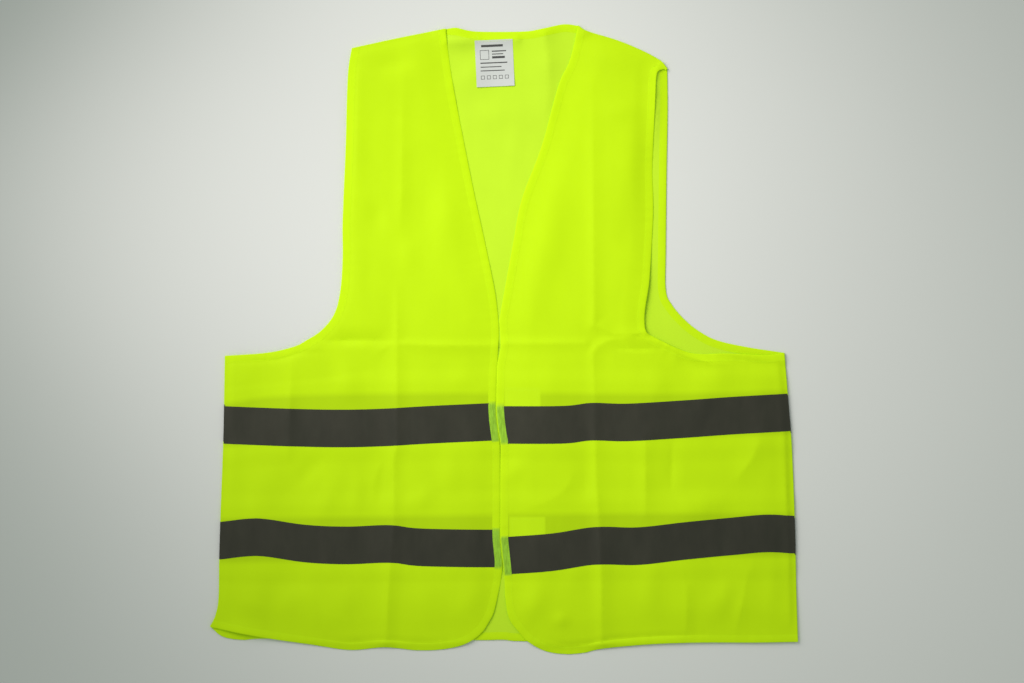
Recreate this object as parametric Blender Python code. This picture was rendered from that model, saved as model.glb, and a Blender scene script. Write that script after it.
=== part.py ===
"""A safety vest lying flat on its back, front up, built from the pieces that are cut and sewn.

The tables are in millimetres, as At(x right of, y above) the middle of the laid-out vest seen from
above, and turned to metres where a mesh is made. Left and right are the viewer's. Each layer of
cloth is one flat map of triangles. A piece is the part of its layer's map that it covers, between
the heights of its lower and its upper side, so pieces that lie on each other follow the same folds.
"""

import math
from collections import namedtuple

import bpy
import numpy as np
from mathutils import Vector
from mathutils.geometry import delaunay_2d_cdt

MM = 0.001

CLOTH = 1.0  # wall of the knit, the tape and the binding
GAP = 0.3  # between pieces that are sewn together
LAYER = CLOTH + GAP
BINDING_WIDTH = 10.0
BINDING_INSET = 2.5  # from the binding's fold to the edge of the cloth in it
TAPE_HALF = 25.0  # half of the 50 mm reflective tape
TAPE_RAMP = 4.0  # a layer comes down beside a tape over this width
EDGE_STEP = 17.0  # spacing of points along edges
FOLD_STEP = 30.0
BACK_GRID = 52.0  # spacing of points inside the panels
FRONT_GRID = 31.0
SEAM_RISE_WIDTH = 45.0  # the front lifts off the back over this distance from a seam
LOFT = 2.6  # and lies this far above the lowest it could lie
HEM_LOFT = 0.25  # share of the loft that is left at the hems
HEM_EASE = 60.0  # the loft goes over this distance
DROP_START = 1.0  # this far past the back's hem a front starts to come down to the ground
DROP_WIDTH = 13.0
COVER_MARGIN = 12.0  # the front clears a raised edge of the back this far round it
COVER_FALL = 24.0
OVERRUN = 14.0  # length of a helper line past the cloth's edge

At = namedtuple("At", "x y")
Fold = namedtuple("Fold", "x0 y0 x1 y1 rise0 rise1 width")
Wave = namedtuple("Wave", "along_x along_y phase height")

# The edges run clockwise round each panel, so the cloth is always on their right.
SHOULDER_LEFT = (At(-203, 388), At(-139, 402), At(-78, 414))
SHOULDER_RIGHT = (At(99, 418.5), At(111, 411), At(150, 399), At(182, 386), At(208, 372), At(218, 361))
BACK_NECK = (At(-78, 414), At(-64, 415.5), At(-48, 412), At(-30, 410.5), At(15, 410.5), At(36, 411.5),
             At(54, 415), At(80, 420.5), At(99, 418.5))
SIDE_LEFT = (At(-392, -384), At(-385, -370), At(-380.5, -346), At(-379.5, -290), At(-377, -210),
             At(-374, -130), At(-372, -22.5))
SIDE_RIGHT = (At(374, -18.5), At(379, -81), At(384, -146), At(388, -250), At(390, -340), At(392, -404))
ARMHOLE_LEFT = (At(-372, -22.5), At(-317, -18.5), At(-281, -10.5), At(-262, -1), At(-243, 12),
                At(-226, 34), At(-218, 66), At(-215, 110), At(-215, 160), At(-211, 255), At(-209, 330),
                At(-207, 364), At(-203, 388))
ARMHOLE_RIGHT_BACK = (At(218, 361), At(218.5, 306), At(217, 220), At(216, 120), At(216, 66),
                      At(224, 46), At(241, 26), At(261, 10), At(285, -2), At(325, -11), At(374, -18.5))
ARMHOLE_RIGHT_FRONT = (At(218, 361), At(211.5, 360.5), At(205, 357), At(202.5, 345), At(201.5, 320),
                       At(198.8, 256), At(198, 223), At(199, 178), At(197.9, 143), At(194, 80),
                       At(189, 47), At(187.2, 28), At(189.5, 10), At(202, 1.5), At(214, -4.5),
                       At(230, -12), At(248, -18.5), At(268, -20.5), At(292, -19.5), At(320, -20.5),
                       At(350, -21.8), At(374, -18.5))
BACK_HEM = (At(392, -404), At(200, -404), At(32, -403.5), At(-1, -401.5), At(-35, -402), At(-166, -402),
            At(-316, -400), At(-350, -401.5), At(-376, -397), At(-392, -384))
OPENING_LEFT = (At(-78, 414), At(-77, 402), At(-70, 350), At(-58, 285), At(-41, 200), At(-24, 122),
                At(-12.5, 65), At(-8.8, 38), At(-7.3, 20), At(-6.9, 5), At(-8, -13), At(-8.8, -30),
                At(-10.2, -48), At(-10.9, -84), At(-10.6, -98), At(-9.6, -110), At(-7.4, -127),
                At(-5.8, -142), At(-5.4, -180), At(-5.4, -225), At(-5.4, -262), At(-3.6, -283),
                At(-2.4, -300), At(-4.5, -322), At(-9, -345), At(-14, -365), At(-20, -377),
                At(-31, -393), At(-52, -407), At(-80, -414), At(-116, -415.5), At(-159, -411.5),
                At(-206, -415), At(-259, -407.5), At(-313, -399.5), At(-358, -391), At(-392, -384))
OPENING_RIGHT = (At(392, -404), At(333, -405), At(262, -405), At(200, -407), At(134, -413),
                 At(106, -419), At(80, -420.5), At(54, -416), At(32, -403.5), At(18, -388.5),
                 At(8.8, -376), At(4.8, -364), At(1.9, -343), At(0.9, -320), At(-1, -300),
                 At(-2.8, -283), At(-4.6, -262), At(-4.6, -225), At(-4.6, -180), At(-4.4, -142),
                 At(-6.5, -127), At(-8.8, -110), At(-9.8, -98), At(-10.1, -84), At(-9.4, -48),
                 At(-8, -30), At(-4.5, -13), At(-4.6, 5), At(-5.7, 20), At(-4.2, 35), At(11.5, 122),
                 At(24, 186), At(50.5, 257), At(73, 338), At(87, 369), At(95, 398), At(99, 418.5))

# Middle lines of the reflective tapes.
BAND_LEFT_UPPER = (At(-373, -114.5), At(-294, -117.5), At(-226, -119), At(-167, -118), At(-97, -114),
                   At(-10, -110))
BAND_LEFT_LOWER = (At(-379, -269), At(-342, -264.5), At(-317, -265), At(-266, -272.5), At(-210, -275),
                   At(-152, -273), At(-111, -277.5), At(-10, -279.5))
BAND_RIGHT_UPPER = (At(-8, -114.5), At(79, -114), At(117, -110), At(163, -111), At(234, -107),
                    At(304, -102), At(383, -97.5))
BAND_RIGHT_LOWER = (At(-2, -289.5), At(65, -284), At(122, -275.5), At(178, -276), At(241, -269),
                    At(304, -263), At(350, -259), At(389, -261))
BAND_BACK_UPPER = (At(-373, -114.5), At(-273, -104), At(-5, -101), At(205, -102), At(383, -97.5))
BAND_BACK_LOWER = (At(-379, -269), At(-273, -267), At(-11, -263.5), At(182, -261.5), At(389, -261))

LABEL_MIDDLE = At(-12.5, 368)
LABEL_SIZE = At(50.5, 62.0)
LABEL_TILT = math.radians(2)
CLOSURE_SIZE = 45.0
CLOSURE_UPPER = At(24.5, -88)
CLOSURE_LOWER = At(31.0, -261)

# Where the vest was folded in its packet, and the crumple under the right armhole.
FOLDS_LEFT = (
    Fold(-139, 345, -139, 150, 0.4, 1.4, 26),
    Fold(-150, 152, -150, -6, 1.2, 2.2, 28),
    Fold(-150, -6, -155, -412, 2.4, 1.8, 26),
    Fold(-243, -2, -150, -6, 0.8, 2.2, 24),
    Fold(-150, -6, -12, -9, 2.4, 1.6, 26),
)
FOLDS_RIGHT = (
    Fold(108, 300, 108, 17, 0.6, 2.4, 28),
    Fold(110, 17, 128, -409, 2.4, 1.8, 26),
    Fold(1.5, -7, 108, -7, 1.4, 2.4, 24),
    Fold(112, 17, 188, 2, 2.4, 4.2, 26),
    Fold(188, 2, 262, -28, 4.2, 2.2, 24),
    Fold(262, -28, 352, -46, 2.2, 0.6, 24),
    Fold(112, 4, 217, -52, 1.8, 1.0, 26),
)
WAVES = (
    Wave(150, 900, 0.3, 0.45),
    Wave(-95, 520, 1.9, 0.30),
    Wave(330, -310, 4.1, 0.35),
)

KNIT = ((0.62, 0.94, 0.02), 0.75)  # colour, roughness
EDGE = ((0.70, 1.0, 0.05), 0.7)
TAPE = ((0.075, 0.07, 0.06), 0.45)
CLOSURE = ((0.70, 0.85, 0.25), 0.9)
LABEL = ((0.75, 0.76, 0.75), 0.6)


def smooth(points, step):
    """A curve through the points, as an array of places about a step apart."""
    given = [np.array(point, float) for point in points]
    given = [2 * given[0] - given[1], *given, 2 * given[-1] - given[-2]]
    placed = []
    for before, start, end, after in zip(given, given[1:], given[2:], given[3:]):
        count = max(1, round(float(np.linalg.norm(end - start)) / step))
        for t in np.arange(count) / count:
            placed.append(0.5 * (2 * start + (end - before) * t
                                 + (2 * before - 5 * start + 4 * end - after) * t**2
                                 + (3 * start - before - 3 * end + after) * t**3))
    return np.array([*placed, given[-2]])


def lengthened(path, by=OVERRUN):
    """The path with a straight end added at each end."""
    start, end = path[0] - path[1], path[-1] - path[-2]
    return np.vstack([path[0] + start / np.linalg.norm(start) * by, path,
                      path[-1] + end / np.linalg.norm(end) * by])


def beside(path, inset):
    """The path moved to its right, into the cloth."""
    steps = np.diff(path, axis=0)
    steps /= np.linalg.norm(steps, axis=1)[:, None]
    normals = np.column_stack([steps[:, 1], -steps[:, 0]])
    mean = np.vstack([normals[:1], normals[:-1] + normals[1:], normals[-1:]])
    mean /= np.linalg.norm(mean, axis=1)[:, None]
    reach = inset / np.einsum("ij,ij->i", mean, np.vstack([normals, normals[-1:]]))
    return path + mean * reach[:, None]


def strip(path, low, high):
    """The outline of the cloth between two distances from a bound edge."""
    long_path = lengthened(path)
    return np.vstack([beside(long_path, low), beside(long_path, high)[::-1]])


def inside(places, outline):
    """Which places lie within a closed outline."""
    x, y = places[:, :1], places[:, 1:]
    ax, ay = outline.T
    bx, by = np.roll(outline, -1, axis=0).T
    with np.errstate(divide="ignore", invalid="ignore"):
        crossing = ((ay > y) != (by > y)) & (x < (bx - ax) * (y - ay) / (by - ay) + ax)
    return crossing.sum(axis=1) % 2 == 1


def distance(places, path):
    """How far each place lies from an open path."""
    start, run = path[:-1], np.diff(path, axis=0)
    offset = places[:, None, :] - start
    share = np.clip((offset * run).sum(-1) / (run**2).sum(-1), 0, 1)
    return np.linalg.norm(offset - share[..., None] * run, axis=-1).min(axis=1)


def beside_tape(places, tapes):
    """1 on the tapes, falling to 0 over the ramp beside them."""
    level = np.zeros(len(places))
    for tape in tapes:
        line = smooth(tape, EDGE_STEP)
        off = np.abs(places[:, 1] - np.interp(places[:, 0], line[:, 0], line[:, 1]))
        level = np.maximum(level, np.clip((TAPE_HALF + TAPE_RAMP - off) / TAPE_RAMP, 0, 1))
    return level


def tape_lines(tape, *offsets):
    """Lines along a tape at distances up from its middle line, past the cloth at both ends."""
    line = lengthened(smooth(tape, EDGE_STEP))
    return [line + (0, offset) for offset in offsets]


def turned_box(middle, size, tilt=0.0):
    """The corners of a rectangle, clockwise."""
    across = np.array([math.cos(tilt), math.sin(tilt)]) * size[0] / 2
    up = np.array([-math.sin(tilt), math.cos(tilt)]) * size[1] / 2
    return np.array(middle) + np.array([up - across, up + across, across - up, -up - across])


ClothMap = namedtuple("ClothMap", "places triangles outline")


def cloth_map(outline, lines, boxes, grid):
    """One layer of cloth as triangles, with edges along its outline, the lines and the boxes."""
    places, edges = [], []
    for path, closed in [(outline, True), *((line, False) for line in lines), *((b, True) for b in boxes)]:
        first = len(places)
        places.extend(path)
        edges.extend((first + i, first + i + 1) for i in range(len(path) - 1))
        if closed:
            edges.append((len(places) - 1, first))
    fixed = np.array(places)
    low, high = outline.min(axis=0), outline.max(axis=0)
    rows = [(x + grid / 2 * (row % 2), y) for row, y in enumerate(np.arange(low[1], high[1], grid * 0.866))
            for x in np.arange(low[0], high[0], grid)]
    rows = np.array(rows)
    rows = rows[inside(rows, outline)]
    clear = np.min(np.linalg.norm(rows[:, None, :] - fixed, axis=-1), axis=1) > grid * 0.5
    places.extend(rows[clear])
    result = delaunay_2d_cdt([Vector(place) for place in places], edges, [], 0, 0.02)
    flat = np.array([tuple(place) for place in result[0]])
    triangles = np.array([tuple(face) for face in result[2]])
    return ClothMap(flat, triangles, outline)


def covers(cloth, within=(), outside=()):
    """Which of the map's triangles a piece covers, as outlines that it is in and not in."""
    middles = cloth.places[cloth.triangles].mean(axis=1)
    kept = inside(middles, cloth.outline)
    for outline in within:
        kept &= inside(middles, outline)
    for outline in outside:
        kept &= ~inside(middles, outline)
    return kept


def finish(look):
    colour, roughness = look
    material = bpy.data.materials.new("finish")
    material.use_nodes = True
    shader = material.node_tree.nodes["Principled BSDF"]
    shader.inputs["Base Color"].default_value = (*colour, 1.0)
    shader.inputs["Roughness"].default_value = roughness
    return material


def piece(name, cloth, kept, lower, upper, look):
    """A closed solid between two heights over the kept triangles of a cloth map."""
    triangles = cloth.triangles[kept]
    used, numbers = np.unique(triangles, return_inverse=True)
    triangles = numbers.reshape(-1, 3)
    count = len(used)
    flat = cloth.places[used]
    low, high = lower(flat), upper(flat)
    vertices = np.vstack([np.column_stack([flat, low]), np.column_stack([flat, high])]) * MM
    sides = {}
    for a, b, c in triangles:
        for edge in ((a, b), (b, c), (c, a)):
            sides[edge] = edge[::-1]
    rim = [edge for edge, back in sides.items() if back not in sides]
    faces = [tuple(face) for face in triangles + count]
    faces += [tuple(face[::-1]) for face in triangles]
    faces += [(a, b, b + count, a + count) for a, b in rim]
    mesh = bpy.data.meshes.new(name)
    mesh.from_pydata(vertices.tolist(), [], [[int(i) for i in face] for face in faces])
    mesh.materials.append(finish(look))
    made = bpy.data.objects.new(name, mesh)
    bpy.context.collection.objects.link(made)
    return made


def on_top(height, above, thickness=CLOTH):
    """The two sides of what lies on, or under, a panel, from the height of the panel's lower side."""
    return lambda flat: height(flat) + above, lambda flat: height(flat) + above + thickness


def bind(name, cloth, path, height, tapes=()):
    """A folded binding over a panel's edge. Its fold reaches down to the panel's lower side."""
    def over(flat):
        return height(flat) + LAYER + LAYER * beside_tape(flat, tapes)

    def lower(flat):
        fold = distance(flat, lengthened(path)) < BINDING_INSET / 2
        return np.where(fold, height(flat), over(flat))

    kept = covers(cloth, [strip(path, -OVERRUN / 2, BINDING_WIDTH)])
    return piece(name, cloth, kept, lower, lambda flat: over(flat) + CLOTH, EDGE)


def binding_lines(paths):
    return [beside(lengthened(path), inset) for path in paths
            for inset in (BINDING_INSET, BINDING_WIDTH)]


def panel_cover(cloth, paths):
    return covers(cloth, outside=[strip(path, -OVERRUN / 2, BINDING_INSET) for path in paths])


def joined(*edges):
    """Edges that follow on from each other, as one outline."""
    return np.vstack([edge[:-1] for edge in edges])


def edge(points):
    return smooth(points, EDGE_STEP)


BACK_TAPES = (BAND_BACK_UPPER, BAND_BACK_LOWER)
BACK_BOUND = [edge(points) for points in (BACK_NECK, ARMHOLE_RIGHT_BACK, BACK_HEM, ARMHOLE_LEFT)]
BACK_HEM_EDGE = BACK_BOUND[2]
SEAMS = [edge(points) for points in (SHOULDER_RIGHT, SIDE_RIGHT, SIDE_LEFT, SHOULDER_LEFT)]
BACK_OUTLINE = joined(*(path for pair in zip(BACK_BOUND, SEAMS) for path in pair))


def ground(flat):
    return np.zeros(len(flat))


def back_height(flat):
    """The back's lower side: on the ground, and up over its own tapes."""
    return LAYER * beside_tape(flat, BACK_TAPES)


def eased(share):
    """0 to 1, level at both ends."""
    share = np.clip(share, 0, 1)
    return share * share * (3 - 2 * share)


def cleared(off):
    return 1 - eased((off - COVER_MARGIN) / COVER_FALL)


def fold_rise(flat, folds):
    """How far the folds raise the cloth: a crest along each, and its sides."""
    crest = np.zeros(len(flat))
    for fold in folds:
        start, run = np.array([fold.x0, fold.y0]), np.array([fold.x1 - fold.x0, fold.y1 - fold.y0])
        along = np.clip((flat - start) @ run / (run @ run), 0, 1)
        off = np.linalg.norm(flat - start - along[:, None] * run, axis=1)
        rise = fold.rise0 + (fold.rise1 - fold.rise0) * along
        crest = np.maximum(crest, rise * np.clip(1 - off / fold.width, 0, 1) ** 2)
    return crest


def front_height(flat, folds):
    """A front's lower side: over the back at the seams, lifted between them, with its folds."""
    under = np.zeros(len(flat))
    for path in BACK_BOUND:
        under = np.maximum(under, cleared(distance(flat, path) - BINDING_WIDTH))
    for tape in BACK_TAPES:
        under = np.maximum(under, cleared(distance(flat, edge(tape)) - TAPE_HALF - TAPE_RAMP))
    from_seam = np.min([distance(flat, path) for path in SEAMS], axis=0)
    lift = np.full(len(flat), LOFT)
    for wave in WAVES:
        turn = flat[:, 0] / wave.along_x + flat[:, 1] / wave.along_y
        lift += wave.height * np.sin(2 * math.pi * turn + wave.phase)
    from_hem = distance(flat, BACK_HEM_EDGE)
    lift *= HEM_LOFT + (1 - HEM_LOFT) * eased(from_hem / HEM_EASE)
    height = LAYER + LAYER * under + (lift + fold_rise(flat, folds)) * eased(from_seam / SEAM_RISE_WIDTH)
    past_hem = ~inside(flat, BACK_OUTLINE) & (from_hem < OVERRUN * 2) & (from_seam > GAP)
    drop = eased((from_hem - DROP_START) / DROP_WIDTH)
    return np.where(past_hem, height * (1 - drop), height)


def fold_lines(folds):
    return [smooth((At(fold.x0, fold.y0), At(fold.x1, fold.y1)), FOLD_STEP) for fold in folds]


def build_back():
    label = turned_box(LABEL_MIDDLE, LABEL_SIZE, LABEL_TILT)
    lines = binding_lines(BACK_BOUND)
    for tape in BACK_TAPES:
        lines += tape_lines(tape, TAPE_HALF + TAPE_RAMP, TAPE_HALF, -TAPE_HALF, -TAPE_HALF - TAPE_RAMP)
    cloth = cloth_map(BACK_OUTLINE, lines, [label], BACK_GRID)
    piece("back_panel", cloth, panel_cover(cloth, BACK_BOUND), *on_top(back_height, 0.0), KNIT)
    for name, tape in (("band_back_upper", BAND_BACK_UPPER), ("band_back_lower", BAND_BACK_LOWER)):
        kept = covers(cloth, [tape_outline(tape)])
        piece(name, cloth, kept, *on_top(ground, 0.0), TAPE)
    piece("neck_label", cloth, covers(cloth, [label]), *on_top(back_height, LAYER), LABEL)
    names = ("binding_back_neck", "binding_armhole_right_back", "binding_back_hem",
             "binding_armhole_left_back")
    for name, path in zip(names, BACK_BOUND):
        bind(name, cloth, path, back_height)


def tape_outline(tape):
    upper, lower = tape_lines(tape, TAPE_HALF, -TAPE_HALF)
    return np.vstack([upper, lower[::-1]])


def build_front(side, edges, bound, tapes, folds, closures=()):
    """A front panel with its bindings, its two tapes and what is sewn under it."""
    def height(flat):
        return front_height(flat, folds)

    boxes = [turned_box(middle, (CLOSURE_SIZE, CLOSURE_SIZE)) for _, middle in closures]
    lines = [*binding_lines(bound), *fold_lines(folds), beside(BACK_HEM_EDGE, -DROP_START)]
    for tape in tapes:
        lines += tape_lines(tape, TAPE_HALF, -TAPE_HALF)
        for line in tape_lines(tape, TAPE_HALF + TAPE_RAMP, -TAPE_HALF - TAPE_RAMP):
            near = distance(line, bound[0]) < 2 * OVERRUN
            lines.append(line[near])
    cloth = cloth_map(joined(*edges), lines, boxes, FRONT_GRID)
    panel = panel_cover(cloth, bound)
    piece(f"front_panel_{side}", cloth, panel, *on_top(height, 0.0), KNIT)
    for level, tape in zip(("upper", "lower"), tapes):
        kept = panel & covers(cloth, [tape_outline(tape)])
        piece(f"band_{side}_{level}", cloth, kept, *on_top(height, LAYER), TAPE)
    bind(f"binding_front_{side}", cloth, bound[0], height, tapes)
    bind(f"binding_armhole_{side}_front", cloth, bound[1], height)
    for (name, _), box in zip(closures, boxes):
        piece(name, cloth, panel & covers(cloth, [box]), *on_top(height, -LAYER), CLOSURE)


def build():
    build_back()
    opening_left, armhole_left = edge(OPENING_LEFT), edge(ARMHOLE_LEFT)
    build_front("left", (edge(SHOULDER_LEFT), opening_left, edge(SIDE_LEFT), armhole_left),
                (opening_left, armhole_left), (BAND_LEFT_UPPER, BAND_LEFT_LOWER), FOLDS_LEFT)
    opening_right, armhole_right = edge(OPENING_RIGHT), edge(ARMHOLE_RIGHT_FRONT)
    build_front("right", (edge(SHOULDER_RIGHT), armhole_right, edge(SIDE_RIGHT), opening_right),
                (opening_right, armhole_right), (BAND_RIGHT_UPPER, BAND_RIGHT_LOWER), FOLDS_RIGHT,
                (("closure_upper", CLOSURE_UPPER), ("closure_lower", CLOSURE_LOWER)))


for startup_object in list(bpy.data.objects):
    bpy.data.objects.remove(startup_object)
build()
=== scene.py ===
"""The looks of a safety vest that lies flat on its back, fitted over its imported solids.

The tables are in millimetres, as (x right of, y above) the middle of the laid-out vest seen from
above, and turned to metres where a mesh is made. Left and right are the viewer's. Each front, and
the back, is one fine map of triangles. Its cloth, the tapes and the patches on it are parts of that
map between two heights, and its edgings are swept along its edges at the same heights.
"""

import math
from collections import namedtuple

import bpy
import numpy as np
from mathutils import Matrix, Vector
from mathutils.geometry import delaunay_2d_cdt
from mathutils.kdtree import KDTree
from numpy.linalg import norm


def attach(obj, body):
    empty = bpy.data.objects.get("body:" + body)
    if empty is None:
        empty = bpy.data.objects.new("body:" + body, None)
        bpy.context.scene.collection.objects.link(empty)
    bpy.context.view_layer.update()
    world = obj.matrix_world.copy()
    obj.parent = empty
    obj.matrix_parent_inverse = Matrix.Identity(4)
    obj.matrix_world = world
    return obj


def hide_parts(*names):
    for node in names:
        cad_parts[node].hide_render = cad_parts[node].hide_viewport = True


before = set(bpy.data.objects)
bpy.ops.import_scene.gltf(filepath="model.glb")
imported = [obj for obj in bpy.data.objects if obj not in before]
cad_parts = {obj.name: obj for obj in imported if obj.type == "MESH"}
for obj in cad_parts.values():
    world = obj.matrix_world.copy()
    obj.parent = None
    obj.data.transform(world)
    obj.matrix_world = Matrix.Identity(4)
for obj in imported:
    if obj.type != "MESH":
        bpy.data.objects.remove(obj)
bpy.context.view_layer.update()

MM = 0.001

# Sizes of the construction.
LAYER = 1.3  # a layer of cloth and the gap to the next
BINDING_WIDTH = 10.0
BINDING_INSET = 2.5  # from the binding's fold to the edge of the cloth in it
TAPE_HALF = 25.0  # half of the 50 mm reflective tape
TAPE_RAMP = 4.0
TAPE_SHOWN = 8.0  # how softly a tape of the back shows through a front
TAPE_STEP = 1.5  # past a back tape's edge, where the front's map has another line
TAPE_SEWN = 1.6  # from a tape's edge in to its row of stitches
CLOSURE_SEWN = 2.5
SEAM_RISE_WIDTH = 45.0  # the front lifts off the back over this distance from a seam
LOFT = 2.6
HEM_LOFT = 0.25
HEM_EASE = 60.0
SEAM_STEEP_SHARE = 0.5  # this part of the lift is reached close to the seam
SEAM_STEEP_WIDTH = 12.0
DROP_START = 1.0  # this far past the back's hem a front starts to come down to the ground
DROP_WIDTH = 13.0
SEAM_HELD = 0.3  # cloth this close to a seam doesn't come down
EDGE_SINK = 0.35  # a front's free edges lie this much closer to the back
COVER_MARGIN = 12.0  # the front clears a raised tape of the back this far round it
COVER_FALL = 24.0
EDGE_COVERS = ((1.0, 12.0), (0.5, 9.0), (12.0, 70.0), (12.0, 70.0))  # the same for its bound edges
OVERRUN = 14.0

# Heights over the level that a layer's solid starts at.
CLOTH_LOW, CLOTH_HIGH = 0.55, 1.0
TAPE_LOW, TAPE_HIGH = 1.03, 1.36
HIDDEN_TAPE_LOW, HIDDEN_TAPE_HIGH = 0.2, 0.5
PATCH_LOW, PATCH_HIGH = -0.5, 0.5
LABEL_LOW, LABEL_HIGH = 1.05, 1.3
SEAM_LOW, SEAM_HIGH = 0.4, 1.08
THREAD_PROUD = 0.06  # the middle of a row of stitches over a tape
CLOSURE_THREAD = -0.02  # the same over the cloth
BACK_LIFT = 0.2  # keeps the uneven back off the floor

# Fineness of the meshes.
EDGE_STEP = 3.0
FRONT_GRID = 3.4
BACK_GRID = 5.0
ROW_STEP = 0.866  # from one row of a grid to the next, in steps of the grid
CLEAR_OF_LINES = 0.5  # how far a grid's places stay from the lines, the same way
FOLD_STEP = 4.0
BOX_STEPS = 12  # places on each side of a box
SAME_PLACE = 0.02
MARKS = "marks"  # what lies under the cloth: a tape, a patch, or nothing but the back's inside

At = namedtuple("At", "x y")

# The edges run clockwise round each panel, so the cloth is always on their right.
SHOULDER_LEFT = ((-203, 388), (-139, 402), (-78, 414))
SHOULDER_RIGHT = ((99, 418.5), (111, 411), (150, 399), (182, 386), (208, 372), (218, 361))
BACK_NECK = (
    (-78, 414), (-64, 415.5), (-48, 412), (-30, 410.5), (15, 410.5), (36, 411.5), (54, 415), (80, 420.5),
    (99, 418.5),
)
SIDE_LEFT = (
    (-392, -384), (-385, -370), (-380.5, -346), (-379.5, -290), (-377, -210), (-374, -130), (-372, -22.5),
)
SIDE_RIGHT = ((374, -18.5), (379, -81), (384, -146), (388, -250), (390, -340), (392, -404))
ARMHOLE_LEFT = (
    (-372, -22.5), (-317, -18.5), (-281, -10.5), (-262, -1), (-243, 12), (-226, 34), (-218, 66),
    (-215, 110), (-215, 160), (-211, 255), (-209, 330), (-207, 364), (-203, 388),
)
ARMHOLE_RIGHT_BACK = (
    (218, 361), (218.5, 306), (217, 220), (216, 120), (216, 66), (224, 46), (241, 26), (261, 10), (285, -2),
    (325, -11), (374, -18.5),
)
ARMHOLE_RIGHT_FRONT = (
    (218, 361), (211.5, 360.5), (205, 357), (202.5, 345), (201.5, 320), (198.8, 256), (198, 223),
    (199, 178), (197.9, 143), (194, 80), (189, 47), (187.2, 28), (189.5, 10), (202, 1.5), (214, -4.5),
    (230, -12), (248, -18.5), (268, -20.5), (292, -19.5), (320, -20.5), (350, -21.8), (374, -18.5),
)
BACK_HEM = (
    (392, -404), (200, -404), (32, -403.5), (-1, -401.5), (-35, -402), (-166, -402), (-316, -400),
    (-350, -401.5), (-376, -397), (-392, -384),
)
OPENING_LEFT = (
    (-78, 414), (-77, 402), (-70, 350), (-58, 285), (-41, 200), (-24, 122), (-12.5, 65), (-8.8, 38),
    (-7.3, 20), (-6.9, 5), (-8, -13), (-8.8, -30), (-10.2, -48), (-10.9, -84), (-10.6, -98), (-9.6, -110),
    (-7.4, -127), (-5.8, -142), (-5.4, -180), (-5.4, -225), (-5.4, -262), (-3.6, -283), (-2.4, -300),
    (-4.5, -322), (-9, -345), (-14, -365), (-20, -377), (-31, -393), (-52, -407), (-80, -414),
    (-116, -415.5), (-159, -411.5), (-206, -415), (-259, -407.5), (-313, -399.5), (-358, -391),
    (-392, -384),
)
OPENING_RIGHT = (
    (392, -404), (333, -405), (262, -405), (200, -407), (134, -413), (106, -419), (80, -420.5), (54, -416),
    (32, -403.5), (18, -388.5), (8.8, -376), (4.8, -364), (1.9, -343), (0.9, -320), (-1, -300),
    (-2.8, -283), (-4.6, -262), (-4.6, -225), (-4.6, -180), (-4.4, -142), (-6.5, -127), (-8.8, -110),
    (-9.8, -98), (-10.1, -84), (-9.4, -48), (-8, -30), (-4.5, -13), (-4.6, 5), (-5.7, 20), (-4.2, 35),
    (11.5, 122), (24, 186), (50.5, 257), (73, 338), (87, 369), (95, 398), (99, 418.5),
)

# Middle lines of the reflective tapes.
BAND_LEFT_UPPER = ((-373, -114.5), (-294, -117.5), (-226, -119), (-167, -118), (-97, -114), (-10, -110))
BAND_LEFT_LOWER = (
    (-379, -269), (-342, -264.5), (-317, -265), (-266, -272.5), (-210, -275), (-152, -273), (-111, -277.5),
    (-10, -279.5),
)
BAND_RIGHT_UPPER = (
    (-8, -114.5), (79, -114), (117, -110), (163, -111), (234, -107), (304, -102), (383, -97.5),
)
BAND_RIGHT_LOWER = (
    (-2, -289.5), (65, -284), (122, -275.5), (178, -276), (241, -269), (304, -263), (350, -259),
    (389, -261),
)
BAND_BACK_UPPER = ((-373, -114.5), (-273, -104), (-5, -101), (205, -102), (383, -97.5))
BAND_BACK_LOWER = ((-379, -269), (-273, -267), (-11, -263.5), (182, -261.5), (389, -261))

LABEL_MIDDLE = At(-12.5, 368.6)
LABEL_SIZE = At(50.5, 62.0)
LABEL_TILT = math.radians(2.6)
CLOSURE_SIZE = 45.0
CLOSURE_UPPER = At(24.5, -88)
CLOSURE_LOWER = At(31.0, -261)

# Where the vest was folded in its packet, and the crumple under the right armhole. Each crease has its
# points, its rise at each of them, and how far its left and right sides reach, looking along it. It is
# a trough where its rises are below 0.
CREASES_LEFT = (
    (((-134, 346), (-135.5, 290), (-136.5, 200), (-139, 150)), (0.2, 0.8, 1.3, 0.5), 20, 17),
    (((-143, 72), (-143, -6)), (0.2, 1.6), 16, 9),
    (((-143, -6), (-143, -135), (-147, -160), (-147, -242), (-151, -295), (-155, -349), (-156.5, -408)),
     (2, 2.3, 2.5, 2, 2.2, 3.2, 2.4), 20, 26),
    (((-240, -2), (-215, -1.5), (-175, -1.5), (-148, -1.5)), (-1, -2.8, -2.4, -0.6), 22, 12),
    (((-171, -18), (-144, -7), (-99, -8), (-9, -8.5)), (0.3, 1.4, 1.7, 1.3), 11, 19),
    (((-150, -150), (-166, -171), (-173, -190), (-175, -218)), (0.3, 1.1, 1.1, 0.2), 20, 24),
    (((-283, -26), (-285, -75), (-287, -140), (-290, -170)), (0.3, 1.8, 1.3, 0.1), 17, 23),
    (((-356, -30.5), (-300, -26.5), (-273, -18.5), (-240, -17)), (-0.3, -0.8, -0.8, -0.2), 5, 10),
    (((-240, -400), (-204, -403.5), (-165, -401), (-110, -404), (-68, -402)),
     (-0.2, -1, -0.8, -1, -0.2), 8, 5),
)
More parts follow.
